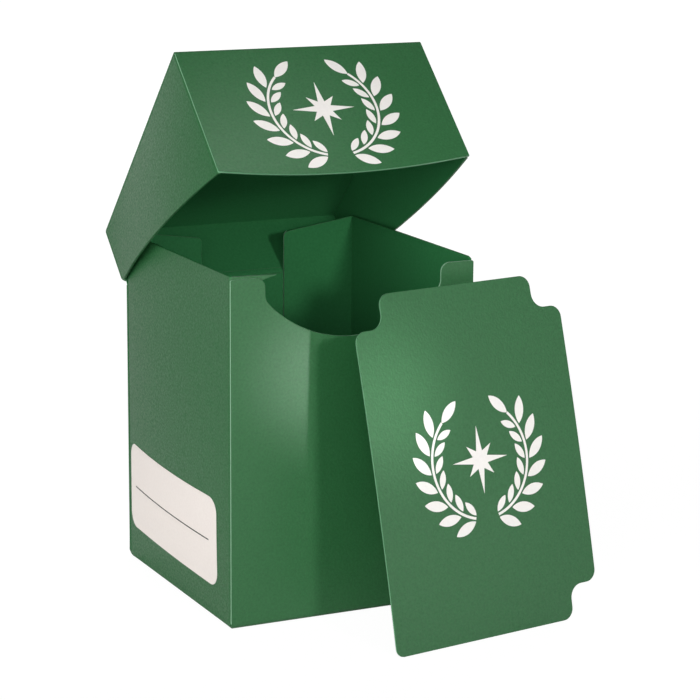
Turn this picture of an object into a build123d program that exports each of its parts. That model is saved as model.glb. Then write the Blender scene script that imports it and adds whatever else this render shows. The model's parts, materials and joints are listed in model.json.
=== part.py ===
from build123d import *
from math import cos, hypot, radians, sin
import os

# Deck case: a box for one deck of sleeved cards, die-cut from plastic sheet, creased, folded and welded.
# It has an open-topped case with a thumb notch, a flip lid on a living hinge, a title label on the left
# side and a loose divider card that stands in front. Sizes are in millimetres.
# The origin is the centre of the case's floor on the table: +X right, +Y back, +Z up.
# The lid is drawn in its own frame on the hinge line, which is tilted to the angle the lid stands open at.

# Case walls
SHEET = 0.7
CASE_WIDTH = 71.0
CASE_DEPTH = 74.5
FRONT_HEIGHT = 94.2
SIDE_RISE = 0.8
SIDE_BULGE = 2.4
FOLD_RADIUS = 0.45

# Thumb notch in the front wall
POST_WIDTH = 9.8
NOTCH_DEPTH = 17.5
NOTCH_SIDE_DEPTH = 5.9
NOTCH_CORNER_RADIUS = 2.5
NOTCH_BLEND_RADIUS = 3.5

# Weld flaps of the side walls
FRONT_FLAP_WIDTH = 16.0
BACK_FLAP_WIDTH = 21.9
BACK_FLAP_TAPER = 3.2
BACK_FLAP_CORNER_RADIUS = 1.5
FLAP_SETBACK = 0.9
LIP_REACH = 3.5
LIP_RISE = 0.4
LIP_HEIGHT = 1.2

# Title label on the left wall
LABEL_LENGTH = 63.0
LABEL_HEIGHT = 24.7
LABEL_CORNER_RADIUS = 4.2
LABEL_SHEET = 0.1
LABEL_GLUE = 0.05
LABEL_SHIFT = 2.6
LABEL_CENTRE_HEIGHT = 22.1
LABEL_TILT = 1.1
RULE_LENGTH = 53.8
RULE_WIDTH = 0.35
INK = 0.05

# Living hinge
HINGE_DROP = 14.0
HINGE_BEAD_RADIUS = 0.45
HINGE_GAP = 0.05

# Lid
LID_CLEARANCE = 0.3
LID_FRONT_GAP = 2.6
LID_ROOF_GAP = 3.1
LID_FRONT_HEIGHT = 40.7
LID_FRONT_BELLY = 1.8
LID_FRONT_BOW = 1.5
LID_SIDE_BOW = 3.0
LID_FLAP_WIDTH = 12.0
LID_OPEN_ANGLE = 46.7
CREASE_GAP = 0.1

# Divider card
DIVIDER_SHEET = 0.6
DIVIDER_SIDE_CLEARANCE = 1.15
DIVIDER_TOP_CLEARANCE = 1.1
DIVIDER_STEP = 9.0
DIVIDER_CORNER_RADIUS = 3.2
DIVIDER_STEP_RADIUS = 3.8
DIVIDER_FOOT_RADIUS = 2.3
DIVIDER_BOW = 0.9
DIVIDER_TRIM = 1.0
DIVIDER_LEAN = 14.3
DIVIDER_TURN = 8.7
DIVIDER_SHIFT = -5.9
DIVIDER_STAND_OFF = 38.0

# Printed emblem: two leafy branches around a star
BRANCH_RADIUS = 15.5
BRANCH_START = -76.0
BRANCH_SWEEP = 122.0
BRANCH_WIDTH = 0.7
LEAF_PAIRS = 7
OUTER_LEAF_LENGTH = 7.4
OUTER_LEAF_WIDTH = 2.8
INNER_LEAF_LENGTH = 5.0
INNER_LEAF_WIDTH = 1.9
STEM_HEADING = 90.0
LEAF_SPREAD = 38.0
LEAF_STAND_OFF = 0.8
STAR_LONG_RADIUS = 9.0
STAR_SHORT_RADIUS = 5.6
STAR_WAIST_RADIUS = 2.5
STAR_TURN = 22.5
LID_EMBLEM_DROP = 21.5

# Sizes and places that follow from the values above
half_width = CASE_WIDTH / 2
half_depth = CASE_DEPTH / 2
side_height = FRONT_HEIGHT + SIDE_RISE
wall_inner = half_width - SHEET
wall_run = CASE_DEPTH - 2 * SHEET
fold_radius = min(FOLD_RADIUS, SHEET - CREASE_GAP)
label_back = half_width + LABEL_GLUE
label_front = label_back + LABEL_SHEET
notch_half_width = half_width - POST_WIDTH
notch_side_height = FRONT_HEIGHT - NOTCH_SIDE_DEPTH
notch_floor_height = FRONT_HEIGHT - NOTCH_DEPTH

hinge_y = half_depth + LID_CLEARANCE
hinge_height = FRONT_HEIGHT - HINGE_DROP
hinge_reach = HINGE_BEAD_RADIUS + HINGE_GAP
lid_half_width = half_width + LID_CLEARANCE + SHEET
lid_inner = lid_half_width - SHEET
lid_depth = LID_CLEARANCE + CASE_DEPTH + LID_FRONT_GAP + SHEET
lid_roof = side_height + LID_ROOF_GAP + SHEET - hinge_height
lid_ceiling = lid_roof - SHEET
lid_front_corner = lid_roof - LID_FRONT_HEIGHT
lid_front_lowest = lid_front_corner - LID_FRONT_BELLY
cheek_front = -lid_depth + SHEET + CREASE_GAP
cheek_run = -SHEET - cheek_front

divider_width = CASE_WIDTH - 2 * SHEET - 2 * DIVIDER_SIDE_CLEARANCE
divider_height = side_height - SHEET - DIVIDER_TOP_CLEARANCE
blank_width = divider_width + 2 * DIVIDER_TRIM
blank_height = divider_height + 2 * DIVIDER_TRIM
blank_bow = DIVIDER_BOW * (blank_height / divider_height) ** 2

lid_tilt = radians(LID_OPEN_ANGLE)
lid_frame = Plane((0, hinge_y, hinge_height), x_dir=(1, 0, 0), z_dir=(0, sin(lid_tilt), cos(lid_tilt)))
lid_back_axis = Axis(lid_frame.origin, lid_frame.y_dir)
lid_up_axis = Axis(lid_frame.origin, lid_frame.z_dir)

turn = radians(DIVIDER_TURN)
lean = radians(DIVIDER_LEAN)
divider_foot = Vector(DIVIDER_SHIFT, -half_depth - DIVIDER_STAND_OFF, 0)
divider_right = Vector(cos(turn), sin(turn), 0)
divider_up = Vector(-sin(turn) * sin(lean), cos(turn) * sin(lean), cos(lean))
divider_face = Plane(divider_foot, x_dir=divider_right, z_dir=divider_right.cross(divider_up))
blank_corner = divider_foot - (divider_right + divider_up) * DIVIDER_TRIM
blank_side = Plane(blank_corner, x_dir=divider_up, z_dir=divider_right)

sides = {"left": -1, "right": 1}

os.makedirs("parts", exist_ok=True)


def in_lid(plane):
    """Carry a plane of the closed lid's frame to the open lid."""
    return Plane(lid_frame * plane)


def bowed_edge(start, end, bow):
    """Draw an edge along the sketch's x that swells by bow along its y, straight where bow is 0."""
    if bow == 0:
        Line(start, end)
    else:
        ThreePointArc(start, ((start[0] + end[0]) / 2, start[1] + bow), end)


def sheet_section(plane, length, near, far, bow):
    """Section of a sheet that runs along the plane's x, between the faces near and far."""
    with BuildSketch(plane) as section:
        with BuildLine():
            bowed_edge((0, near), (length, near), bow)
            Line((length, near), (length, far))
            bowed_edge((length, far), (0, far), bow)
            Line((0, far), (0, near))
        make_face()
    return section.sketch


def side_sections(hand, near, far):
    """Three level sections of a sheet that follows a case side wall's pillow shape."""
    bulges = {SHEET: 0, side_height / 2: -hand * SIDE_BULGE, side_height: 0}
    sections = []
    for height, bulge in bulges.items():
        plane = Plane((0, SHEET - half_depth, height), x_dir=(0, 1, 0), z_dir=(0, 0, 1))
        sections.append(sheet_section(plane, wall_run, -hand * near, -hand * far, bulge))
    return sections


def lid_front_sections(near, far):
    """Upper and lower section of a sheet that follows the lid front's hollow, from its outer face inwards."""
    sections = []
    for height, bow in ((lid_ceiling, 0), (lid_front_lowest, LID_FRONT_BOW)):
        plane = Plane((-lid_half_width, -lid_depth, height), x_dir=(1, 0, 0), z_dir=(0, 0, 1))
        sections.append(sheet_section(in_lid(plane), 2 * lid_half_width, near, far, bow))
    return sections


def divider_blank(near, far):
    """Section of the divider's bowed sheet before it is trimmed to the card's outline."""
    sink = blank_bow - DIVIDER_BOW
    return sheet_section(blank_side, blank_height, near - sink, far - sink, blank_bow)


def branch_place(hand, radius, angle, heading):
    """A place at a polar angle on one branch, with its x along the heading; the left branch is mirrored."""
    spot = (hand * radius * cos(radians(angle)), radius * sin(radians(angle)), 0)
    direction = angle + heading
    return Location(spot, (0, 0, direction if hand > 0 else 180 - direction))


def leaf_places(edge):
    """Places of the leaves along both branches, on the stem's outer edge (1) or its inner edge (-1)."""
    places = []
    for hand in sides.values():
        for index in range(LEAF_PAIRS):
            angle = BRANCH_START + BRANCH_SWEEP * index / LEAF_PAIRS
            radius = BRANCH_RADIUS + edge * LEAF_STAND_OFF
            places.append(branch_place(hand, radius, angle, STEM_HEADING - edge * LEAF_SPREAD))
    return places


def tip_places():
    """Places of the single leaves at the tips of the branches."""
    angle = BRANCH_START + BRANCH_SWEEP
    return [branch_place(hand, BRANCH_RADIUS, angle, STEM_HEADING) for hand in sides.values()]


def leaf_outline(length, width):
    """A leaf pointed at both ends, from the origin along x."""
    with BuildSketch() as leaf:
        with BuildLine():
            ThreePointArc((0, 0), (length / 2, width / 2), (length, 0))
            ThreePointArc((length, 0), (length / 2, -width / 2), (0, 0))
        make_face()
    return leaf.sketch


def star_points():
    """Corners of an eight-pointed star with long and short points."""
    tips = (STAR_LONG_RADIUS, STAR_WAIST_RADIUS, STAR_SHORT_RADIUS, STAR_WAIST_RADIUS)
    corners = []
    for index in range(4 * len(tips)):
        angle = radians(90 + index * STAR_TURN)
        radius = tips[index % len(tips)]
        corners.append((radius * cos(angle), radius * sin(angle)))
    return corners


def emblem_outline(plane):
    """The printed emblem, centred on the plane's origin."""
    outer_leaf = leaf_outline(OUTER_LEAF_LENGTH, OUTER_LEAF_WIDTH)
    inner_leaf = leaf_outline(INNER_LEAF_LENGTH, INNER_LEAF_WIDTH)
    with BuildSketch(plane) as emblem:
        with Locations(*leaf_places(1), *tip_places()):
            add(outer_leaf)
        with Locations(*leaf_places(-1)):
            add(inner_leaf)
        with BuildLine():
            CenterArc((0, 0), BRANCH_RADIUS, BRANCH_START, BRANCH_SWEEP)
            CenterArc((0, 0), BRANCH_RADIUS, 180 - BRANCH_START, -BRANCH_SWEEP)
        trace(line_width=BRANCH_WIDTH)
        Polygon(*star_points())
    return emblem.sketch


# Case: floor
with BuildPart() as bottom_panel:
    with BuildSketch(Plane.XY):
        Rectangle(CASE_WIDTH, CASE_DEPTH)
    extrude(amount=SHEET)
    fillet(bottom_panel.faces().sort_by(Axis.Z)[0].edges(), fold_radius)
bottom_panel.part.label = "bottom_panel"
export_step(bottom_panel.part, "parts/bottom_panel.step")

# Case: front wall with its thumb notch
with BuildPart() as front_panel:
    with BuildSketch(Plane.XZ.offset(half_depth)) as front_outline:
        with Locations((0, SHEET)):
            Rectangle(CASE_WIDTH, FRONT_HEIGHT - SHEET, align=(Align.CENTER, Align.MIN))
        with BuildSketch(Plane.XZ.offset(half_depth), mode=Mode.SUBTRACT):
            with BuildLine():
                Line((-notch_half_width, FRONT_HEIGHT), (-notch_half_width, notch_side_height))
                ThreePointArc(
                    (-notch_half_width, notch_side_height),
                    (0, notch_floor_height),
                    (notch_half_width, notch_side_height),
                )
                Line((notch_half_width, notch_side_height), (notch_half_width, FRONT_HEIGHT))
                Line((notch_half_width, FRONT_HEIGHT), (-notch_half_width, FRONT_HEIGHT))
            make_face()
    extrude(amount=-SHEET)
    notch_corners = front_panel.edges().filter_by(Axis.Y).sort_by(lambda edge: abs(edge.center().X))[:4]
    fillet(notch_corners.group_by(Axis.Z)[0], NOTCH_BLEND_RADIUS)
    post_corners = front_panel.edges().filter_by(Axis.Y).group_by(Axis.Z)[-1].sort_by(Axis.X)
    fillet(post_corners[1:3], NOTCH_CORNER_RADIUS)
    outer_uprights = front_panel.edges().filter_by(Axis.Z).group_by(Axis.Y)[0]
    fillet(outer_uprights.group_by(SortBy.LENGTH)[-1], fold_radius)
front_panel.part.label = "front_panel"
export_step(front_panel.part, "parts/front_panel.step")

# Case: back wall, which ends just under the living hinge
with BuildPart() as back_panel:
    with BuildSketch(Plane.XZ.offset(-half_depth)):
        with Locations((0, SHEET)):
            Rectangle(CASE_WIDTH, hinge_height - hinge_reach - SHEET, align=(Align.CENTER, Align.MIN))
    extrude(amount=SHEET)
    fillet(back_panel.edges().filter_by(Axis.Z).group_by(Axis.Y)[-1], fold_radius)
back_panel.part.label = "back_panel"
export_step(back_panel.part, "parts/back_panel.step")

# Case: side walls, bulged like a pillow
for side, hand in sides.items():
    with BuildPart() as side_panel:
        loft(side_sections(hand, wall_inner, half_width))
    side_panel.part.label = f"{side}_side_panel"
    export_step(side_panel.part, f"parts/{side}_side_panel.step")

# Case: weld flaps behind the front wall, cut back from the notch
for side, hand in sides.items():
    neck = POST_WIDTH - SHEET - FLAP_SETBACK
    lip_tip = neck + (FLAP_SETBACK + LIP_REACH if side == "left" else 0)
    front_flap_corners = [
        (0, SHEET),
        (FRONT_FLAP_WIDTH, SHEET),
        (FRONT_FLAP_WIDTH, notch_floor_height - FLAP_SETBACK),
        (neck, notch_side_height - NOTCH_BLEND_RADIUS),
        (neck, FRONT_HEIGHT + LIP_RISE - LIP_HEIGHT),
        (lip_tip, FRONT_HEIGHT + LIP_RISE),
        (0, side_height),
    ]
    with BuildPart() as front_flap:
        with BuildSketch(Plane.XZ.offset(half_depth - SHEET)):
            Polygon(*[(hand * (wall_inner - x), z) for x, z in front_flap_corners])
        extrude(amount=-SHEET)
    front_flap.part.label = f"{side}_front_flap"
    export_step(front_flap.part, f"parts/{side}_front_flap.step")

# Case: weld flaps in front of the back wall, tapered at the top
for side, hand in sides.items():
    back_flap_corners = [
        (0, SHEET),
        (BACK_FLAP_WIDTH, SHEET),
        (BACK_FLAP_WIDTH, side_height - BACK_FLAP_TAPER),
        (0, side_height),
    ]
    with BuildPart() as back_flap:
        with BuildSketch(Plane.XZ.offset(SHEET - half_depth)):
            with BuildLine():
                FilletPolyline(
                    *[(hand * (wall_inner - x), z) for x, z in back_flap_corners],
                    radius=[0, 0, BACK_FLAP_CORNER_RADIUS, 0],
                    close=True,
                )
            make_face()
        extrude(amount=SHEET)
    back_flap.part.label = f"{side}_back_flap"
    export_step(back_flap.part, f"parts/{side}_back_flap.step")

# Case: bead of the living hinge
with BuildPart() as living_hinge:
    with BuildSketch(Plane.YZ.offset(-half_width)):
        with Locations((hinge_y, hinge_height)):
            Circle(HINGE_BEAD_RADIUS)
    extrude(amount=CASE_WIDTH)
living_hinge.part.label = "living_hinge"
export_step(living_hinge.part, "parts/living_hinge.step")

# Case: title label on the left wall
with BuildPart() as title_label:
    loft(side_sections(sides["left"], label_back, label_front))
    with BuildSketch(Plane.YZ):
        with Locations((LABEL_SHIFT, LABEL_CENTRE_HEIGHT)):
            RectangleRounded(LABEL_LENGTH, LABEL_HEIGHT, LABEL_CORNER_RADIUS, rotation=LABEL_TILT)
    extrude(amount=-CASE_WIDTH, mode=Mode.INTERSECT)
title_label.part.label = "title_label"
export_step(title_label.part, "parts/title_label.step")

# Case: printed writing line on the label
with BuildPart() as label_rule:
    loft(side_sections(sides["left"], label_front, label_front + INK))
    with BuildSketch(Plane.YZ):
        with Locations((LABEL_SHIFT, LABEL_CENTRE_HEIGHT)):
            Rectangle(RULE_LENGTH, RULE_WIDTH, rotation=LABEL_TILT)
    extrude(amount=-CASE_WIDTH, mode=Mode.INTERSECT)
label_rule.part.label = "label_rule"
export_step(label_rule.part, "parts/label_rule.step")

# Lid: back wall above the hinge
with BuildPart() as lid_back_panel:
    with BuildSketch(in_lid(Plane.XZ)):
        with Locations((0, hinge_reach)):
            Rectangle(2 * lid_half_width, lid_ceiling - hinge_reach, align=(Align.CENTER, Align.MIN))
    extrude(amount=SHEET)
    fillet(lid_back_panel.edges().filter_by(lid_up_axis).group_by(lid_back_axis)[-1], fold_radius)
lid_back_panel.part.label = "lid_back_panel"
export_step(lid_back_panel.part, "parts/lid_back_panel.step")

# Lid: roof with rounded folds
with BuildPart() as lid_top_panel:
    with BuildSketch(in_lid(Plane.XY.offset(lid_ceiling))):
        with Locations((0, -lid_depth / 2)):
            Rectangle(2 * lid_half_width, lid_depth)
    extrude(amount=SHEET)
    fillet(lid_top_panel.faces().sort_by(lid_up_axis)[-1].edges(), fold_radius)
lid_top_panel.part.label = "lid_top_panel"
export_step(lid_top_panel.part, "parts/lid_top_panel.step")

# Lid: front wall, a little hollow, with a rounded lower edge
with BuildPart() as lid_front_panel:
    loft(lid_front_sections(0, SHEET), ruled=True)
    with BuildSketch(in_lid(Plane.XZ)):
        with BuildLine():
            Line((-lid_half_width, lid_front_corner), (-lid_half_width, lid_ceiling))
            Line((-lid_half_width, lid_ceiling), (lid_half_width, lid_ceiling))
            Line((lid_half_width, lid_ceiling), (lid_half_width, lid_front_corner))
            ThreePointArc(
                (lid_half_width, lid_front_corner), (0, lid_front_lowest), (-lid_half_width, lid_front_corner)
            )
        make_face()
    extrude(amount=lid_depth + SHEET, mode=Mode.INTERSECT)
lid_front_panel.part.label = "lid_front_panel"
export_step(lid_front_panel.part, "parts/lid_front_panel.step")

# Lid: slanted cheeks, bowed out along their lower edge
cheek_rise = hinge_reach - lid_front_corner
for side, hand in sides.items():
    cheek_top = Plane((0, cheek_front, lid_ceiling), x_dir=(0, 1, 0), z_dir=(0, 0, 1))
    cheek_edge = Plane(
        (0, cheek_front, lid_front_corner),
        x_dir=(0, cheek_run, cheek_rise),
        z_dir=(0, -cheek_rise, cheek_run),
    )
    faces = (-hand * lid_inner, -hand * lid_half_width)
    with BuildPart() as lid_cheek:
        loft(
            [
                sheet_section(in_lid(cheek_top), cheek_run, *faces, 0),
                sheet_section(in_lid(cheek_edge), hypot(cheek_run, cheek_rise), *faces, -hand * LID_SIDE_BOW),
            ],
            ruled=True,
        )
    lid_cheek.part.label = f"lid_{side}_side"
    export_step(lid_cheek.part, f"parts/lid_{side}_side.step")

# Lid: weld flaps of the cheeks behind the front wall
for side, hand in sides.items():
    lid_flap_corners = [
        (0, lid_front_corner + FLAP_SETBACK),
        (LID_FLAP_WIDTH, lid_front_corner + FLAP_SETBACK),
        (LID_FLAP_WIDTH, lid_ceiling - SHEET - FLAP_SETBACK),
        (0, lid_ceiling - SHEET - FLAP_SETBACK),
    ]
    with BuildPart() as lid_front_flap:
        loft(lid_front_sections(SHEET, 2 * SHEET), ruled=True)
        with BuildSketch(in_lid(Plane.XZ)):
            Polygon(*[(hand * (lid_inner - x), z) for x, z in lid_flap_corners])
        extrude(amount=lid_depth, mode=Mode.INTERSECT)
    lid_front_flap.part.label = f"lid_{side}_front_flap"
    export_step(lid_front_flap.part, f"parts/lid_{side}_front_flap.step")

# Lid: printed emblem on the front wall
emblem_plane = Plane.XZ.offset(lid_depth - LID_FRONT_BOW) * Pos(0, lid_roof - LID_EMBLEM_DROP, 0)
with BuildPart() as lid_emblem:
    loft(lid_front_sections(-INK, 0), ruled=True)
    extrude(emblem_outline(in_lid(emblem_plane)), amount=LID_FRONT_BOW + SHEET, mode=Mode.INTERSECT)
lid_emblem.part.label = "lid_emblem"
export_step(lid_emblem.part, "parts/lid_emblem.step")

# Divider: card with three stepped corners, slightly bowed
step_radii = [DIVIDER_CORNER_RADIUS, DIVIDER_STEP_RADIUS, DIVIDER_CORNER_RADIUS]
with BuildPart() as divider_card:
    extrude(divider_blank(0, DIVIDER_SHEET), amount=blank_width)
    with BuildSketch(divider_face):
        with BuildLine():
            FilletPolyline(
                (0, 0),
                (divider_width - DIVIDER_STEP, 0),
                (divider_width - DIVIDER_STEP, DIVIDER_STEP),
                (divider_width, DIVIDER_STEP),
                (divider_width, divider_height - DIVIDER_STEP),
                (divider_width - DIVIDER_STEP, divider_height - DIVIDER_STEP),
                (divider_width - DIVIDER_STEP, divider_height),
                (DIVIDER_STEP, divider_height),
                (DIVIDER_STEP, divider_height - DIVIDER_STEP),
                (0, divider_height - DIVIDER_STEP),
                radius=[DIVIDER_FOOT_RADIUS, *step_radii, *step_radii, *step_radii],
                close=True,
            )
        make_face()
    extrude(amount=DIVIDER_SHEET + DIVIDER_BOW + DIVIDER_TRIM, both=True, mode=Mode.INTERSECT)
divider_card.part.label = "divider_card"
export_step(divider_card.part, "parts/divider_card.step")

# Divider: printed emblem at the card's centre
with BuildPart() as divider_emblem:
    extrude(divider_blank(DIVIDER_SHEET, DIVIDER_SHEET + INK), amount=blank_width)
    extrude(
        emblem_outline(Plane(divider_face * Pos(divider_width / 2, divider_height / 2, 0))),
        amount=DIVIDER_SHEET + DIVIDER_BOW + DIVIDER_TRIM,
        mode=Mode.INTERSECT,
    )
divider_emblem.part.label = "divider_emblem"
export_step(divider_emblem.part, "parts/divider_emblem.step")
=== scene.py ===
import json
from math import acos, atan2, cos, degrees, pi, radians, sin, tan

import bmesh
import bpy
from mathutils import Matrix, Vector


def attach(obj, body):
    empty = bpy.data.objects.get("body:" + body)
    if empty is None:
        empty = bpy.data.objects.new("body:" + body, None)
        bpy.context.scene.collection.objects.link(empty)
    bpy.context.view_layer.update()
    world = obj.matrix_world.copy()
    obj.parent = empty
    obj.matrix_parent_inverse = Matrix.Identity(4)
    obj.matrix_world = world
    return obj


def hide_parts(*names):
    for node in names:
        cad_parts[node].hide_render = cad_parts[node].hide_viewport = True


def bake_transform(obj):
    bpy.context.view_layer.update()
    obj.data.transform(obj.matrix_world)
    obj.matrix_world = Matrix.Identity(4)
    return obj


# Looks of a deck case folded from satin plastic sheet, with a flip lid, a label and a loose divider card.
# Every sheet is drawn as its flat cut outline and then folded into place. Shapes are in millimetres in the
# shared frame, and meshes are made in metres.

MM = 0.001

# The right side mirrors the left one in x
SIDES = (("left", 1), ("right", -1))

# Sheets
FOLD_RADIUS = 0.8
BASE_FOLD_RADIUS = 1.6
FOLD_STEPS = 6
ARC_STEPS = 10
CELL = 4.0
WELD_GAP = 0.02
EDGE_ROUND = 0.1
THIN_EDGE_ROUND = 0.02
INK_EDGE_ROUND = 0.01
EDGE_SEGMENTS = 2
ROUND_PROFILE = 0.5
FACE_AREA_WEIGHT = 100

# Places of a sheet's materials: its outer side, its inner side and its cut edge
OUTER, INNER, CUT = 0, 1, 2

# Case
POST_WIDTH = 9.8
NOTCH_DEPTH = 17.5
NOTCH_SIDE_DEPTH = 5.9
NOTCH_CORNER_RADIUS = 2.5
NOTCH_BLEND_RADIUS = 3.5
CORNER_ROUND = 0.5
FLOOR_INSET = 0.6
FRONT_FLAP_WIDTH = 16.0
BACK_FLAP_WIDTH = 21.9
BACK_FLAP_TAPER = 3.2
BACK_FLAP_CORNER_RADIUS = 1.5
FLAP_SETBACK = 0.9
LIP_REACH = 3.5
LIP_RISE = 0.4
LIP_HEIGHT = 1.2
RIM_SLOPE = 1.2

# Label, with its tilt in degrees
LABEL_TILT = 1.1
LABEL_CORNER_RADIUS = 4.2
LABEL_SHEET = 0.1
LABEL_GLUE = 0.05
RULE_INK = 0.05

# Lid
LID_FRONT_BELLY = 1.8
LID_FRONT_BOW = 1.5
LID_SIDE_BOW = 3.0
LID_FLAP_WIDTH = 12.0
CHEEK_CORNER_RADIUS = 1.5
HINGE_REACH = 0.5
HINGE_SHEET = 0.35

# Divider, with its lean and turn in degrees
DIVIDER_LEAN = 14.3
DIVIDER_TURN = 8.7
DIVIDER_BOW = 0.9
DIVIDER_STEP = 9.0
DIVIDER_CORNER_RADIUS = 3.2
DIVIDER_STEP_RADIUS = 3.8
DIVIDER_FOOT_RADIUS = 2.3

# Colours, each from its darkest to its lightest
GREEN = ((0.016, 0.104, 0.03), (0.022, 0.13, 0.039))
# The inside green is painted lighter than the outer green, standing in for light the dim inside lacks
LIGHTENED_INSIDE_GREEN = ((0.025, 0.153, 0.05), (0.03, 0.176, 0.059))
PAPER_WHITE = ((0.86, 0.785, 0.74), (0.94, 0.87, 0.82))
INK_BLACK = ((0.03, 0.028, 0.026), (0.06, 0.055, 0.05))
PRINT_WHITE = ((0.82, 0.79, 0.76), (0.90, 0.87, 0.84))
# Cut-edge greens: partly the sheet's paler cut edge, partly a painted highlight of the line of light the edge
# catches; the dull one is a fainter painted highlight
EDGE_HIGHLIGHT_GREEN = (0.28, 0.53, 0.34)
DULL_EDGE_HIGHLIGHT_GREEN = (0.15, 0.36, 0.2)
EDGE_SHADE = 0.75

# Grains, with scales in lumps per metre and depths in metres
NOISE_MIDDLE = (0.3, 0.7)
GRAIN_SCALE = 1500.0
GRAIN_DETAIL = 2.0
OUTER_GRAIN_DEPTH = 0.00005
INNER_GRAIN_DEPTH = 0.00002
POLISH_SCALE = 1900.0
STREAK_SCALE = 900.0
FIBRE_SCALE = 1500.0
FIBRE_DETAIL = 6.0
FIBRE_DEPTH = 0.00001
FIBRE_STRENGTH = 0.5
INK_SCALE = 1200.0
INK_DETAIL = 3.0
INK_DEPTH = 0.00001
INK_STRENGTH = 0.6

# Gloss
OUTER_ROUGHNESS = (0.32, 0.62)
INNER_ROUGHNESS = (0.7, 0.8)
OUTER_REFLECTION = 0.7
INNER_REFLECTION = 0.1
EDGE_ROUGHNESS = 0.35
PAPER_ROUGHNESS = 0.6
INK_ROUGHNESS = 0.5

# Camera and the lamps' aims, in metres
CAMERA_PLACE = Vector((-0.28904, -0.62513, 0.21899))
CAMERA_TARGET = Vector((-0.00130, -0.03728, 0.07289))
CAMERA_ROLL = radians(0.432)
CAMERA_LENS = 130.63
CAMERA_SENSOR = 36.0
CASE_AIM = Vector((0, -0.02, 0.07))
NOTCH_AIM = Vector((0.002, -0.04, 0.072))
SHEEN_AIM = Vector((-0.006, -0.037, 0.067))

# Aim of the lamp on the lid: a share of its half width, and a drop below its front corner in millimetres
LID_AIM_SHARE = 0.95
LID_AIM_DROP = 4.0

# World and floor, in metres
AMBIENT = 0.01
MIRRORED = 0.27
FLOOR_REACH = 6.0
FLOOR_DROP = 0.0001
FLOOR_COLOUR = (0.85, 0.85, 0.85, 1)
FLOOR_ROUGHNESS = 0.9
FLOOR_GLOW = 1.06
FLOOR_FADE = (0.25, 0.7)
FLOOR_FADE_SHARES = (0.91, 1.0)

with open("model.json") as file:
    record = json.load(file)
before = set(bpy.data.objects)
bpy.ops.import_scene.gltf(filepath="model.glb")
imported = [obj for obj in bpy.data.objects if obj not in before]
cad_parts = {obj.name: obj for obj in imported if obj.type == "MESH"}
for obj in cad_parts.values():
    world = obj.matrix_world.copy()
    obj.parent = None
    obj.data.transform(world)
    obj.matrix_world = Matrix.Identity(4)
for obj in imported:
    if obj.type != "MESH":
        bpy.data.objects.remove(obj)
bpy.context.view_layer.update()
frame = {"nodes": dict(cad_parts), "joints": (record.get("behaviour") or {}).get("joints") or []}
nodes = frame["nodes"]


# Reading the frame

def node_box(node, axes=None, origin=Vector()):
    """Lowest and highest corner of a node in millimetres, along the given axes from an origin."""
    axes = axes or (Vector((1, 0, 0)), Vector((0, 1, 0)), Vector((0, 0, 1)))
    places = [[(v.co / MM - origin).dot(axis) for axis in axes] for v in nodes[node].data.vertices]
    columns = list(zip(*places))
    return Vector([min(column) for column in columns]), Vector([max(column) for column in columns])


front_low, front_high = node_box("front_panel")
half_width = front_high.x
half_depth = -front_low.y
sheet = front_high.y - front_low.y
front_top = front_high.z
side_low, side_high = node_box("left_side_panel")
side_top = side_high.z
side_bulge = -side_low.x - half_width
back_top = node_box("back_panel")[1].z
inner_depth = half_depth - sheet

tilt = radians(LABEL_TILT)
label_axes = (Vector((0, cos(tilt), sin(tilt))), Vector((0, -sin(tilt), cos(tilt))), Vector((-1, 0, 0)))
label_low, label_high = node_box("title_label", label_axes)
rule_low, rule_high = node_box("label_rule", label_axes)

hinge_joint = next(joint for joint in frame["joints"] if joint["name"] == "lid_hinge")
hinge = Vector(hinge_joint["pos_m"]) / MM
lid_angle = radians(-hinge_joint["range_deg"][0])
lid_axes = (
    Vector((1, 0, 0)),
    Vector((0, cos(lid_angle), -sin(lid_angle))),
    Vector((0, sin(lid_angle), cos(lid_angle))),
)
lid_front_low, lid_front_high = node_box("lid_front_panel", lid_axes, hinge)
lid_half_width = lid_front_high.x
lid_depth = -lid_front_low.y
lid_ceiling = lid_front_high.z
lid_roof = lid_ceiling + sheet
lid_lowest = lid_front_low.z
lid_corner = lid_lowest + LID_FRONT_BELLY

turn = radians(DIVIDER_TURN)
lean = radians(DIVIDER_LEAN)
card_right = Vector((cos(turn), sin(turn), 0))
card_up = Vector((-sin(turn) * sin(lean), cos(turn) * sin(lean), cos(lean)))
card_axes = (card_right, card_up, card_right.cross(card_up))
card_low, card_high = node_box("divider_card", card_axes)
card_width = card_high.x - card_low.x
card_height = card_high.y - card_low.y
card_sheet = card_high.z - card_low.z - DIVIDER_BOW


# Outlines

def arc(centre, radius, start, end, steps=ARC_STEPS):
    """Points along an arc, from one angle in degrees to another."""
    angles = [radians(start + (end - start) * step / steps) for step in range(steps + 1)]
    return [(centre[0] + radius * cos(angle), centre[1] + radius * sin(angle)) for angle in angles]


def rounded(corners):
    """Outline through corners (x, y, radius), each rounded to its radius."""
    points = []
    for index, (x, y, radius) in enumerate(corners):
        corner = Vector((x, y))
        if radius == 0:
            points.append((x, y))
            continue
        before = (Vector(corners[index - 1][:2]) - corner).normalized()
        after = (Vector(corners[(index + 1) % len(corners)][:2]) - corner).normalized()
        half = acos(before.dot(after)) / 2
        centre = corner + (before + after).normalized() * radius / sin(half)
        first = corner + before * radius / tan(half) - centre
        last = corner + after * radius / tan(half) - centre
        start = degrees(atan2(first.y, first.x))
        sweep = (degrees(atan2(last.y, last.x)) - start + 180) % 360 - 180
        points += arc(centre, radius, start, start + sweep)
    return points


def rectangle(low, high, radius=0):
    """Outline of a rectangle between two corners, with its corners rounded."""
    places = ((low[0], low[1]), (high[0], low[1]), (high[0], high[1]), (low[0], high[1]))
    return rounded([(x, y, radius) for x, y in places])


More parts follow.
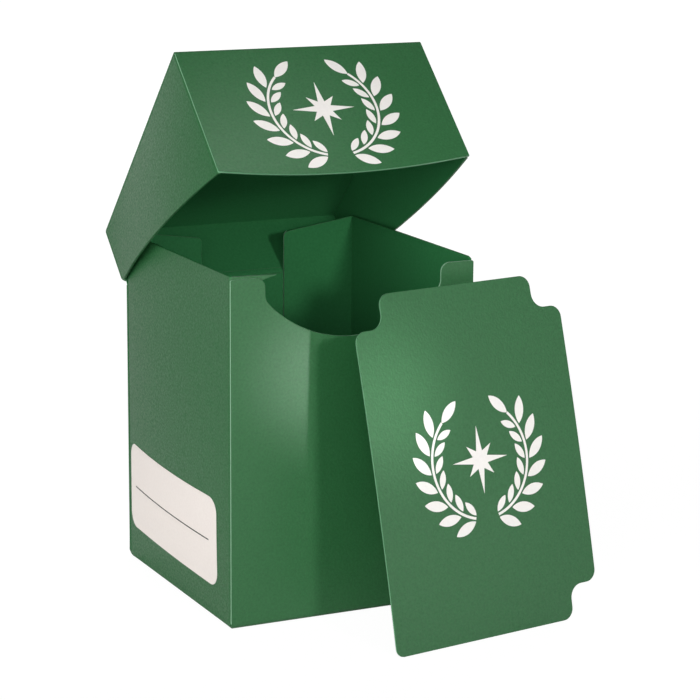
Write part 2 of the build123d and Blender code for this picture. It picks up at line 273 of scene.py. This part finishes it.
def spread(low, high, step=CELL):
    """Evenly spaced cuts strictly between two places."""
    count = max(1, round((high - low) / step))
    return [low + (high - low) * index / count for index in range(1, count)]


def fold_cuts(start, radius=FOLD_RADIUS):
    """Cuts through a fold, from its start to its end."""
    return [start + pi / 2 * radius * index / FOLD_STEPS for index in range(FOLD_STEPS + 1)]


# Sheets

def add_object(name, data):
    """A new object in the scene."""
    thing = bpy.data.objects.new(name, data)
    bpy.context.scene.collection.objects.link(thing)
    return thing


def cut_flat(outline, u_cuts, v_cuts):
    """The face of a flat outline, divided along lines of steady u and of steady v."""
    flat = bmesh.new()
    flat.faces.new([flat.verts.new((u, v, 0)) for u, v in outline])
    for direction, cuts in ((Vector((1, 0, 0)), u_cuts), (Vector((0, 1, 0)), v_cuts)):
        for cut in cuts:
            geometry = flat.verts[:] + flat.edges[:] + flat.faces[:]
            bmesh.ops.bisect_plane(flat, geom=geometry, plane_co=direction * cut, plane_no=direction)
    flat.verts.index_update()
    return flat


def sheet_mesh(name, outline, u_cuts, v_cuts, place, thickness, edge_slot=None, edge_round=EDGE_ROUND):
    """A sheet cut to a flat outline and folded by place(u, v, depth).

    Its inner side takes the second material. Its cut edges take the third, or the one that
    edge_slot(u, v) names.
    """
    flat = cut_flat(outline, u_cuts, v_cuts)
    solid = bmesh.new()
    outer = [solid.verts.new(place(v.co.x, v.co.y, 0) * MM) for v in flat.verts]
    inner = [solid.verts.new(place(v.co.x, v.co.y, thickness) * MM) for v in flat.verts]
    for face in flat.faces:
        solid.faces.new([outer[v.index] for v in face.verts])
        solid.faces.new([inner[v.index] for v in reversed(face.verts)]).material_index = INNER

    rims = []
    for edge in flat.edges:
        if not edge.is_boundary:
            continue
        a, b = (v.index for v in edge.verts)
        rim = solid.faces.new([outer[a], outer[b], inner[b], inner[a]])
        middle = (edge.verts[0].co + edge.verts[1].co) / 2
        rim.material_index = edge_slot(middle.x, middle.y) if edge_slot else CUT
        rims += [solid.edges.get((outer[a], outer[b])), solid.edges.get((inner[a], inner[b]))]
    flat.free()

    bmesh.ops.recalc_face_normals(solid, faces=solid.faces)
    bmesh.ops.bevel(
        solid,
        geom=rims,
        offset=edge_round * MM,
        segments=EDGE_SEGMENTS,
        profile=ROUND_PROFILE,
        affect="EDGES",
    )
    for face in solid.faces:
        face.smooth = True
    mesh = bpy.data.meshes.new(name)
    solid.to_mesh(mesh)
    solid.free()
    piece = add_object(name, mesh)
    normals = piece.modifiers.new("flat faces", "WEIGHTED_NORMAL")
    normals.weight = FACE_AREA_WEIGHT
    return piece


def dress(piece, outer, inner=None, cut=None):
    """Gives a sheet its three materials: outer side, inner side and cut edge."""
    for material in (outer, inner or outer, cut or outer):
        piece.data.materials.append(material)


# Materials

def new_material(name):
    """A node material; returns it with its node tree and its shader."""
    material = bpy.data.materials.new(name)
    material.use_nodes = True
    return material, material.node_tree, material.node_tree.nodes["Principled BSDF"]


def noise(tree, scale, detail=GRAIN_DETAIL):
    """The value of a noise texture on the piece's own coordinates."""
    place = tree.nodes.new("ShaderNodeTexCoord")
    texture = tree.nodes.new("ShaderNodeTexNoise")
    texture.inputs["Scale"].default_value = scale
    texture.inputs["Detail"].default_value = detail
    tree.links.new(place.outputs["Object"], texture.inputs["Vector"])
    return texture.outputs["Fac"]


def stretch(tree, value, before, after):
    """A value carried from one range to another."""
    node = tree.nodes.new("ShaderNodeMapRange")
    for name, number in zip(("From Min", "From Max", "To Min", "To Max"), (*before, *after)):
        node.inputs[name].default_value = number
    tree.links.new(value, node.inputs["Value"])
    return node.outputs["Result"]


def combine(tree, operation, first, second):
    """A number worked out from two others."""
    node = tree.nodes.new("ShaderNodeMath")
    node.operation = operation
    tree.links.new(first, node.inputs[0])
    tree.links.new(second, node.inputs[1])
    return node.outputs["Value"]


def tint(tree, shader, value, colours):
    """Colours a shader between two colours, by a value."""
    mix = tree.nodes.new("ShaderNodeMix")
    mix.data_type = "RGBA"
    for name, colour in zip(("A", "B"), colours):
        mix.inputs[name].default_value = (*colour, 1)
    tree.links.new(value, mix.inputs["Factor"])
    tree.links.new(mix.outputs["Result"], shader.inputs["Base Color"])


def bump(tree, shader, height, depth, strength=1.0):
    """Bump from a height texture, with a depth in metres."""
    relief = tree.nodes.new("ShaderNodeBump")
    relief.inputs["Distance"].default_value = depth
    relief.inputs["Strength"].default_value = strength
    tree.links.new(height, relief.inputs["Height"])
    tree.links.new(relief.outputs["Normal"], shader.inputs["Normal"])


def plastic_sheet(name, colours, grain_depth, roughness, reflection):
    """Polypropylene sheet with a fine sandblasted grain."""
    material, tree, shader = new_material(name)
    grain = noise(tree, GRAIN_SCALE)
    tint(tree, shader, stretch(tree, grain, NOISE_MIDDLE, (0, 1)), colours)
    polish = stretch(tree, noise(tree, POLISH_SCALE), NOISE_MIDDLE, roughness)
    tree.links.new(polish, shader.inputs["Roughness"])
    shader.inputs["Specular IOR Level"].default_value = reflection
    bump(tree, shader, grain, grain_depth)
    return material


def cut_edge_highlight(name, colour):
    """The edge of the sheet where it was cut: partly its paler cut edge, partly a painted highlight of the
    light it catches.
    """
    material, tree, shader = new_material(name)
    darker = tuple(EDGE_SHADE * part for part in colour)
    tint(tree, shader, noise(tree, STREAK_SCALE), (darker, colour))
    shader.inputs["Roughness"].default_value = EDGE_ROUGHNESS
    return material


def paper(name, colours):
    """Smooth uncoated label paper."""
    material, tree, shader = new_material(name)
    fibres = noise(tree, FIBRE_SCALE, FIBRE_DETAIL)
    tint(tree, shader, fibres, colours)
    shader.inputs["Roughness"].default_value = PAPER_ROUGHNESS
    bump(tree, shader, fibres, FIBRE_DEPTH, FIBRE_STRENGTH)
    return material


def print_ink(name, colours):
    """Matt printing ink that lies a little uneven."""
    material, tree, shader = new_material(name)
    cover = noise(tree, INK_SCALE, INK_DETAIL)
    tint(tree, shader, cover, colours)
    shader.inputs["Roughness"].default_value = INK_ROUGHNESS
    bump(tree, shader, cover, INK_DEPTH, INK_STRENGTH)
    return material


green = plastic_sheet("green sheet", GREEN, OUTER_GRAIN_DEPTH, OUTER_ROUGHNESS, OUTER_REFLECTION)
# Matt inner side: its roughness and low reflection are real, its lighter colour is painted light for the dim
# inside
green_inside_lightened = plastic_sheet(
    "green sheet, matt side, painted lighter", LIGHTENED_INSIDE_GREEN, INNER_GRAIN_DEPTH, INNER_ROUGHNESS, INNER_REFLECTION
)
# Pale cut edges, partly real and partly painted highlight
green_edge_highlight = cut_edge_highlight("green cut edge with painted highlight", EDGE_HIGHLIGHT_GREEN)
dull_edge_highlight = cut_edge_highlight("dull green cut edge with painted highlight", DULL_EDGE_HIGHLIGHT_GREEN)
label_paper = paper("label paper", PAPER_WHITE)
rule_ink = print_ink("label ink", INK_BLACK)
pale_ink = print_ink("pale print", PRINT_WHITE)


# Case: front wall, floor and back wall, folded from one strip

front_run = front_top - BASE_FOLD_RADIUS
floor_start = front_run + pi / 2 * BASE_FOLD_RADIUS
floor_end = floor_start + 2 * (half_depth - BASE_FOLD_RADIUS)
back_start = floor_end + pi / 2 * BASE_FOLD_RADIUS
strip_end = back_start + back_top - BASE_FOLD_RADIUS


def place_strip(x, run, depth):
    """A point of the strip that runs down the front, along the floor and up the back."""
    radius = BASE_FOLD_RADIUS - depth
    fold_y = half_depth - BASE_FOLD_RADIUS
    if run < front_run:
        return Vector((x, depth - half_depth, front_top - run))
    if run < floor_start:
        angle = (run - front_run) / BASE_FOLD_RADIUS
        return Vector((x, -fold_y - radius * cos(angle), BASE_FOLD_RADIUS - radius * sin(angle)))
    if run < floor_end:
        return Vector((x, run - floor_start - fold_y, depth))
    if run < back_start:
        angle = (run - floor_end) / BASE_FOLD_RADIUS
        return Vector((x, fold_y + radius * sin(angle), BASE_FOLD_RADIUS - radius * cos(angle)))
    return Vector((x, half_depth - depth, BASE_FOLD_RADIUS + run - back_start))


def strip_edge(x, run):
    """The strip's cut edges carry the pale painted highlight round the front wall only."""
    return OUTER if run > front_run else CUT


def notch_outline():
    """The front wall's top edge from right to left, with the thumb notch, as (x, run) points."""
    side = half_width - POST_WIDTH
    rise = NOTCH_DEPTH - NOTCH_SIDE_DEPTH
    radius = (side * side + rise * rise) / (2 * rise)
    centre_run = NOTCH_DEPTH - radius
    blend_x = side - NOTCH_BLEND_RADIUS
    blend_run = centre_run + ((radius - NOTCH_BLEND_RADIUS) ** 2 - blend_x**2) ** 0.5
    blend = degrees(atan2(blend_run - centre_run, blend_x))
    post = NOTCH_CORNER_RADIUS
    right = arc((side + post, post), post, 270, 180)
    right += arc((blend_x, blend_run), NOTCH_BLEND_RADIUS, 0, blend)
    floor = arc((0, centre_run), radius, blend, 90, 2 * ARC_STEPS)
    half = right + floor[1:]
    return half + [(-x, run) for x, run in reversed(half[:-1])]


strip_outline = [
    *arc((-half_width + CORNER_ROUND, CORNER_ROUND), CORNER_ROUND, 270, 180),
    (-half_width, front_run),
    (FLOOR_INSET - half_width, floor_start),
    (FLOOR_INSET - half_width, floor_end),
    (-half_width, back_start),
    (-half_width, strip_end),
    (half_width, strip_end),
    (half_width, back_start),
    (half_width - FLOOR_INSET, floor_end),
    (half_width - FLOOR_INSET, floor_start),
    (half_width, front_run),
    *arc((half_width - CORNER_ROUND, CORNER_ROUND), CORNER_ROUND, 0, -90),
    *notch_outline(),
]
case_strip = sheet_mesh(
    "case_strip",
    strip_outline,
    spread(-half_width, half_width),
    spread(0, front_run) + fold_cuts(front_run, BASE_FOLD_RADIUS) + spread(floor_start, floor_end)
    + fold_cuts(floor_end, BASE_FOLD_RADIUS) + spread(back_start, strip_end),
    place_strip,
    sheet,
    strip_edge,
)
dress(case_strip, green, green_inside_lightened, green_edge_highlight)
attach(case_strip, "case")
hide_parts("front_panel", "bottom_panel", "back_panel")


# Case: side walls, each folded with its two weld flaps from one sheet

# A run along the sheet starts where its front fold ends. A root is where a flap passes the wall's inner face.
fold_length = pi / 2 * FOLD_RADIUS
flap_root = FOLD_RADIUS - sheet - fold_length
wrap_depth = inner_depth - WELD_GAP
wall_run = 2 * (wrap_depth - FOLD_RADIUS)
back_root = wall_run - flap_root
wall_foot = sheet + WELD_GAP
flap_foot = BASE_FOLD_RADIUS + WELD_GAP


def bulge(y, z):
    """How far a side wall swells out at a place."""
    middle = (sheet + side_top) / 2
    across = 1 - (y / inner_depth) ** 2
    upward = 1 - ((z - middle) / (side_top - middle)) ** 2
    return side_bulge * max(0, across) * max(0, upward)


def place_wrap(hand):
    """Folding of a side sheet: front flap, fold, wall, fold, back flap, along its run."""
    def place(run, z, depth):
        radius = FOLD_RADIUS - depth
        if run < -fold_length:
            x = FOLD_RADIUS - half_width - fold_length - run
            y = depth - wrap_depth
        elif run < 0:
            angle = -run / FOLD_RADIUS
            x = FOLD_RADIUS - half_width - radius * cos(angle)
            y = FOLD_RADIUS - wrap_depth - radius * sin(angle)
        elif run < wall_run:
            y = FOLD_RADIUS - wrap_depth + run
            x = depth - half_width - bulge(y, z)
        elif run < wall_run + fold_length:
            angle = (run - wall_run) / FOLD_RADIUS
            x = FOLD_RADIUS - half_width - radius * cos(angle)
            y = wrap_depth - FOLD_RADIUS + radius * sin(angle)
        else:
            x = FOLD_RADIUS - half_width + run - wall_run - fold_length
            y = wrap_depth - depth
        return Vector((hand * x, y, z))
    return place


def wrap_outline(side):
    """Flat outline of a side sheet as (run, height) points."""
    notch_floor = front_top - NOTCH_DEPTH - FLAP_SETBACK
    neck = POST_WIDTH - sheet - FLAP_SETBACK
    if side == "left":
        rim = [
            (flap_root, side_top, 0),
            (flap_root - neck - FLAP_SETBACK - LIP_REACH, front_top + LIP_RISE, 0),
            (flap_root - neck, front_top + LIP_RISE - LIP_HEIGHT, 0),
        ]
    else:
        rim = [
            (RIM_SLOPE, side_top, 0),
            (-fold_length, front_top, 0),
            (flap_root - neck, front_top - FLAP_SETBACK, 0),
        ]
    return rounded([
        (flap_root - FRONT_FLAP_WIDTH, flap_foot, 0),
        (-fold_length, flap_foot, 0),
        (0, wall_foot, 0),
        (wall_run, wall_foot, 0),
        (wall_run + fold_length, flap_foot, 0),
        (back_root + BACK_FLAP_WIDTH, flap_foot, 0),
        (back_root + BACK_FLAP_WIDTH, side_top - BACK_FLAP_TAPER, BACK_FLAP_CORNER_RADIUS),
        (back_root, side_top, 0),
        *rim,
        (flap_root - neck, front_top - NOTCH_SIDE_DEPTH - NOTCH_BLEND_RADIUS, 0),
        (flap_root - FRONT_FLAP_WIDTH, notch_floor, 0),
    ])


def wrap_edge(run, z):
    """Cut edges carry the pale painted highlight only at the front flap's tip and down the back flap's free
    side; elsewhere they take the inside green, painted lighter.
    """
    front_tip = run < -fold_length and z > front_top
    free_side = run > wall_run + BACK_FLAP_WIDTH
    return CUT if front_tip or free_side else INNER


for side, hand in SIDES:
    wrap = sheet_mesh(
        f"case_{side}_wrap",
        wrap_outline(side),
        fold_cuts(-fold_length) + spread(0, wall_run) + fold_cuts(wall_run),
        spread(wall_foot, side_top),
        place_wrap(hand),
        sheet,
        wrap_edge,
    )
    dress(wrap, green, green_inside_lightened, green_edge_highlight)
    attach(wrap, "case")
    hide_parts(f"{side}_side_panel", f"{side}_front_flap", f"{side}_back_flap")


# Case: label and its printed line

def place_on_wall(stand_off):
    """A place on the left wall in the label's own directions, a stand-off above the wall's face."""
    def place(u, v, depth):
        spot = label_axes[0] * u + label_axes[1] * v
        return Vector((depth - half_width - bulge(spot.y, spot.z) - stand_off, spot.y, spot.z))
    return place


label = sheet_mesh(
    "label",
    rectangle(label_low, label_high, LABEL_CORNER_RADIUS),
    spread(label_low.x, label_high.x),
    spread(label_low.y, label_high.y),
    place_on_wall(LABEL_GLUE + LABEL_SHEET),
    LABEL_SHEET,
    edge_round=THIN_EDGE_ROUND,
)
dress(label, label_paper)
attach(label, "case")
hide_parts("title_label")

rule = sheet_mesh(
    "label_line",
    rectangle(rule_low, rule_high),
    spread(rule_low.x, rule_high.x),
    [],
    place_on_wall(LABEL_GLUE + LABEL_SHEET + RULE_INK),
    RULE_INK,
    edge_round=INK_EDGE_ROUND,
)
dress(rule, rule_ink)
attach(rule, "case")
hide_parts("label_rule")


# Lid: back wall, roof and front wall, folded from one strip

def in_lid(x, y, z):
    """A point of the lid's own frame, carried to the open lid."""
    return hinge + lid_axes[0] * x + lid_axes[1] * y + lid_axes[2] * z


def front_bow(x, z):
    """How far the lid's front wall is hollowed at a place."""
    down = (lid_ceiling - z) / (lid_ceiling - lid_lowest)
    return LID_FRONT_BOW * max(0, down) * (1 - (x / lid_half_width) ** 2)


lid_rise = lid_roof - FOLD_RADIUS - HINGE_REACH
roof_start = lid_rise + fold_length
roof_end = roof_start + lid_depth - 2 * FOLD_RADIUS
lid_front_start = roof_end + fold_length
lid_front_end = lid_front_start + lid_roof - FOLD_RADIUS - lid_lowest


def place_lid_strip(x, run, depth):
    """A point of the strip that runs up the lid's back, along its roof and down its front."""
    radius = FOLD_RADIUS - depth
    if run < lid_rise:
        return in_lid(x, -depth, HINGE_REACH + run)
    if run < roof_start:
        angle = (run - lid_rise) / FOLD_RADIUS
        return in_lid(x, radius * cos(angle) - FOLD_RADIUS, lid_roof - FOLD_RADIUS + radius * sin(angle))
    if run < roof_end:
        return in_lid(x, -FOLD_RADIUS - run + roof_start, lid_roof - depth)
    if run < lid_front_start:
        angle = (run - roof_end) / FOLD_RADIUS
        y = FOLD_RADIUS - lid_depth - radius * sin(angle)
        return in_lid(x, y, lid_roof - FOLD_RADIUS + radius * cos(angle))
    z = lid_roof - FOLD_RADIUS - run + lid_front_start
    return in_lid(x, depth - lid_depth + front_bow(x, z), z)


def lid_edge(x, run):
    """The lid's cut edges carry the dull painted highlight round its front wall only."""
    return OUTER if run < lid_front_start else CUT


belly_radius = (lid_half_width**2 + LID_FRONT_BELLY**2) / (2 * LID_FRONT_BELLY)
belly_angle = degrees(atan2(lid_half_width, belly_radius - LID_FRONT_BELLY))
belly_centre = (0, lid_front_end - belly_radius)
tip = CHEEK_CORNER_RADIUS
lid_outline = [
    *arc((tip - lid_half_width, tip), tip, 180, 270),
    *arc((lid_half_width - tip, tip), tip, 270, 360),
    *arc(belly_centre, belly_radius, 90 - belly_angle, 90 + belly_angle, 3 * ARC_STEPS),
]
lid_strip = sheet_mesh(
    "lid_strip",
    lid_outline,
    spread(-lid_half_width, lid_half_width),
    spread(0, lid_rise) + fold_cuts(lid_rise) + spread(roof_start, roof_end)
    + fold_cuts(roof_end) + spread(lid_front_start, lid_front_end),
    place_lid_strip,
    sheet,
    lid_edge,
)
dress(lid_strip, green, green_inside_lightened, dull_edge_highlight)
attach(lid_strip, "lid")
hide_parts("lid_back_panel", "lid_top_panel", "lid_front_panel")


# Lid: cheeks, each folded with its front weld flap from one sheet

cheek_front = sheet + WELD_GAP - lid_depth
cheek_back = -sheet - WELD_GAP
cheek_top = lid_ceiling - WELD_GAP
cheek_depth = cheek_back - cheek_front
cheek_run = cheek_depth - FOLD_RADIUS


def cheek_edge(y):
    """Height of a cheek's lower edge."""
    return lid_corner + (y - cheek_front) / cheek_depth * (HINGE_REACH - lid_corner)


def cheek_bow(y, z):
    """How far a cheek swells out at a place."""
    share = (y - cheek_front) / cheek_depth
    down = (lid_ceiling - z) / (lid_ceiling - cheek_edge(y))
    return LID_SIDE_BOW * 4 * share * (1 - share) * max(0, down)


def place_cheek(hand):
    """Folding of a cheek's sheet: front flap, fold and cheek, along its run."""
    def place(run, z, depth):
        radius = FOLD_RADIUS - depth
        if run < -fold_length:
            x = FOLD_RADIUS - lid_half_width - fold_length - run
            y = cheek_front + depth + front_bow(x, z)
        elif run < 0:
            angle = -run / FOLD_RADIUS
            x = FOLD_RADIUS - lid_half_width - radius * cos(angle)
            y = cheek_front + FOLD_RADIUS - radius * sin(angle) + front_bow(x, z)
        else:
            y = cheek_front + FOLD_RADIUS + run
            x = depth - lid_half_width - cheek_bow(y, z)
        return in_lid(hand * x, y, z)
    return place


cheek_outline = rounded([
    (flap_root - LID_FLAP_WIDTH, lid_corner + FLAP_SETBACK, 0),
    (flap_root, lid_corner + FLAP_SETBACK, 0),
    (-fold_length, lid_corner + WELD_GAP, 0),
    (0, cheek_edge(cheek_front + FOLD_RADIUS), 0),
    (cheek_run, HINGE_REACH, CHEEK_CORNER_RADIUS),
    (cheek_run, cheek_top, 0),
    (flap_root - LID_FLAP_WIDTH, cheek_top, 0),
])
for side, hand in SIDES:
    cheek = sheet_mesh(
        f"lid_{side}_cheek",
        cheek_outline,
        fold_cuts(-fold_length) + spread(0, cheek_run),
        spread(lid_lowest, cheek_top),
        place_cheek(hand),
        sheet,
    )
    dress(cheek, green, green_inside_lightened, green)
    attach(cheek, "lid")
    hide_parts(f"lid_{side}_side", f"lid_{side}_front_flap")


# Living hinge: the thinned crease between the back wall and the lid

crease_start = Vector((0, half_depth, back_top))
crease_end = in_lid(0, 0, HINGE_REACH)
crease_pull = (crease_end - crease_start).length / 3
crease_pulls = (
    crease_start,
    crease_start + Vector((0, 0, crease_pull)),
    crease_end - lid_axes[2] * crease_pull,
    crease_end,
)


def place_crease(x, share, depth):
    """A point of the crease, a cubic curve from the back wall to the lid's back."""
    rest = 1 - share
    weights = (rest**3, 3 * rest * rest * share, 3 * rest * share * share, share**3)
    point = sum((pull * weight for pull, weight in zip(crease_pulls, weights)), Vector())
    inward = (Vector((0, -1, 0)) * rest - lid_axes[1] * share).normalized()
    return point + inward * (depth + sheet - HINGE_SHEET) + Vector((x, 0, 0))


crease = sheet_mesh(
    "living_hinge_crease",
    rectangle((-half_width, 0), (half_width, 1)),
    spread(-half_width, half_width),
    spread(0, 1, 1 / FOLD_STEPS),
    place_crease,
    HINGE_SHEET,
    edge_round=THIN_EDGE_ROUND,
)
# Its inner side is painted lighter, and its cut edges take the pale painted highlight
dress(crease, green, green_inside_lightened, green_edge_highlight)
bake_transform(crease)
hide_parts("living_hinge")


# Divider card

def place_card(u, v, depth):
    """A point of the bowed card, from its lower left corner."""
    bow = DIVIDER_BOW * (1 - (2 * v / card_height - 1) ** 2)
    places = (card_low.x + u, card_low.y + v, card_low.z + card_sheet + bow - depth)
    return sum((axis * place for axis, place in zip(card_axes, places)), Vector())


far_u = card_width - DIVIDER_STEP
far_v = card_height - DIVIDER_STEP
step_radii = (DIVIDER_CORNER_RADIUS, DIVIDER_STEP_RADIUS, DIVIDER_CORNER_RADIUS)
step_corners = [
    (far_u, 0), (far_u, DIVIDER_STEP), (card_width, DIVIDER_STEP),
    (card_width, far_v), (far_u, far_v), (far_u, card_height),
    (DIVIDER_STEP, card_height), (DIVIDER_STEP, far_v), (0, far_v),
]
card_outline = rounded([
    (0, 0, DIVIDER_FOOT_RADIUS),
    *((u, v, step_radii[index % len(step_radii)]) for index, (u, v) in enumerate(step_corners)),
])
card = sheet_mesh(
    "divider",
    card_outline,
    spread(0, card_width),
    spread(0, card_height),
    place_card,
    card_sheet,
)
# Its cut edges take the dull painted highlight
dress(card, green, green, dull_edge_highlight)
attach(card, "divider")
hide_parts("divider_card")

# Printed emblems keep their solids
for emblem in ("lid_emblem", "divider_emblem"):
    nodes[emblem].data.materials.clear()
    nodes[emblem].data.materials.append(pale_ink)


# Floor, world, lamps and camera

def floor_material():
    """Matt white that glows plain white to the camera, the more so away from the object."""
    material, tree, shader = new_material("floor white")
    shader.inputs["Base Color"].default_value = FLOOR_COLOUR
    shader.inputs["Roughness"].default_value = FLOOR_ROUGHNESS
    glow = tree.nodes.new("ShaderNodeEmission")
    glow.inputs["Strength"].default_value = FLOOR_GLOW
    place = tree.nodes.new("ShaderNodeTexCoord")
    distance = tree.nodes.new("ShaderNodeVectorMath")
    distance.operation = "LENGTH"
    tree.links.new(place.outputs["Object"], distance.inputs[0])
    fade = stretch(tree, distance.outputs["Value"], FLOOR_FADE, FLOOR_FADE_SHARES)
    path = tree.nodes.new("ShaderNodeLightPath")
    mix = tree.nodes.new("ShaderNodeMixShader")
    tree.links.new(combine(tree, "MULTIPLY", path.outputs["Is Camera Ray"], fade), mix.inputs["Fac"])
    tree.links.new(shader.outputs["BSDF"], mix.inputs[1])
    tree.links.new(glow.outputs["Emission"], mix.inputs[2])
    tree.links.new(mix.outputs["Shader"], tree.nodes["Material Output"].inputs["Surface"])
    return material


def make_floor():
    """A plain floor, which keeps a faint shadow of the object."""
    mesh = bpy.data.meshes.new("floor")
    corners = rectangle((-FLOOR_REACH, -FLOOR_REACH), (FLOOR_REACH, FLOOR_REACH))
    mesh.from_pydata([(x, y, 0) for x, y in corners], [], [range(len(corners))])
    mesh.materials.append(floor_material())
    floor = add_object("floor", mesh)
    floor.location.z = -FLOOR_DROP


def make_world(ambient, mirrored):
    """White to the camera, and softer as light on the surfaces and in reflections."""
    world = bpy.data.worlds.new("studio")
    world.use_nodes = True
    bpy.context.scene.world = world
    tree = world.node_tree
    path = tree.nodes.new("ShaderNodeLightPath")
    level = stretch(tree, path.outputs["Is Glossy Ray"], (0, 1), (ambient, mirrored))
    background = tree.nodes["Background"]
    background.inputs["Color"].default_value = (1, 1, 1, 1)
    seen = combine(tree, "MAXIMUM", level, path.outputs["Is Camera Ray"])
    tree.links.new(seen, background.inputs["Strength"])


def hang(lamp, place, aim, watts):
    """Hangs a lamp at a place and aims it at a point."""
    lamp.energy = watts
    holder = add_object(lamp.name, lamp)
    holder.location = place
    holder.rotation_euler = (aim - place).to_track_quat("-Z", "Y").to_euler()
    return holder


def make_softbox(name, place, size, watts, mirrored=True):
    """A square soft lamp aimed at the case, seen in reflections or not."""
    lamp = bpy.data.lights.new(name, "AREA")
    lamp.size = size
    hang(lamp, Vector(place), CASE_AIM, watts).visible_glossy = mirrored


def make_spot(name, place, aim, cone, radius, watts):
    """A round lamp whose beam, a cone in degrees, fades out towards its rim."""
    lamp = bpy.data.lights.new(name, "SPOT")
    lamp.spot_size = radians(cone)
    lamp.spot_blend = 1.0
    lamp.shadow_soft_size = radius
    hang(lamp, Vector(place), aim, watts)


def make_camera():
    """The photograph's view."""
    data = bpy.data.cameras.new("camera")
    data.lens = CAMERA_LENS
    data.sensor_width = CAMERA_SENSOR
    back = (CAMERA_PLACE - CAMERA_TARGET).normalized()
    level = Vector((0, 0, 1)).cross(back).normalized()
    upright = back.cross(level)
    right = level * cos(CAMERA_ROLL) + upright * sin(CAMERA_ROLL)
    up = upright * cos(CAMERA_ROLL) - level * sin(CAMERA_ROLL)
    camera = add_object("camera", data)
    camera.matrix_world = Matrix.Translation(CAMERA_PLACE) @ Matrix((right, up, back)).transposed().to_4x4()
    bpy.context.scene.camera = camera


lid_aim = in_lid(-LID_AIM_SHARE * lid_half_width, -lid_depth, lid_corner - LID_AIM_DROP) * MM
make_floor()
make_world(AMBIENT, MIRRORED)
make_spot("key", (0.096, -0.893, 0.332), NOTCH_AIM, cone=18, radius=0.05, watts=12.5)
make_spot("sheen under the notch", (0.075, -0.427, 0.022), SHEEN_AIM, cone=7, radius=0.01, watts=3.5)
make_spot("sheen on the lid", (0.363, -0.115, 0.816), lid_aim, cone=4, radius=0.03, watts=5.1)
make_softbox("fill beside the camera", (-0.667, -0.761, 0.140), size=0.8, watts=7.6, mirrored=False)
make_softbox("fill above the camera", (-0.380, -0.798, 0.570), size=0.8, watts=2.8, mirrored=False)
make_softbox("left", (-1.124, -0.218, 0.441), size=0.6, watts=5.0, mirrored=False)
make_softbox("low right", (0.410, -0.585, 0.119), size=0.3, watts=0.29)
make_softbox("behind", (0, 0.970, 0.209), size=0.6, watts=1.8)
make_softbox("behind right", (0.72, 0.84, 0.55), size=0.8, watts=8.6, mirrored=False)
make_camera()
bpy.context.scene.view_settings.view_transform = "Standard"
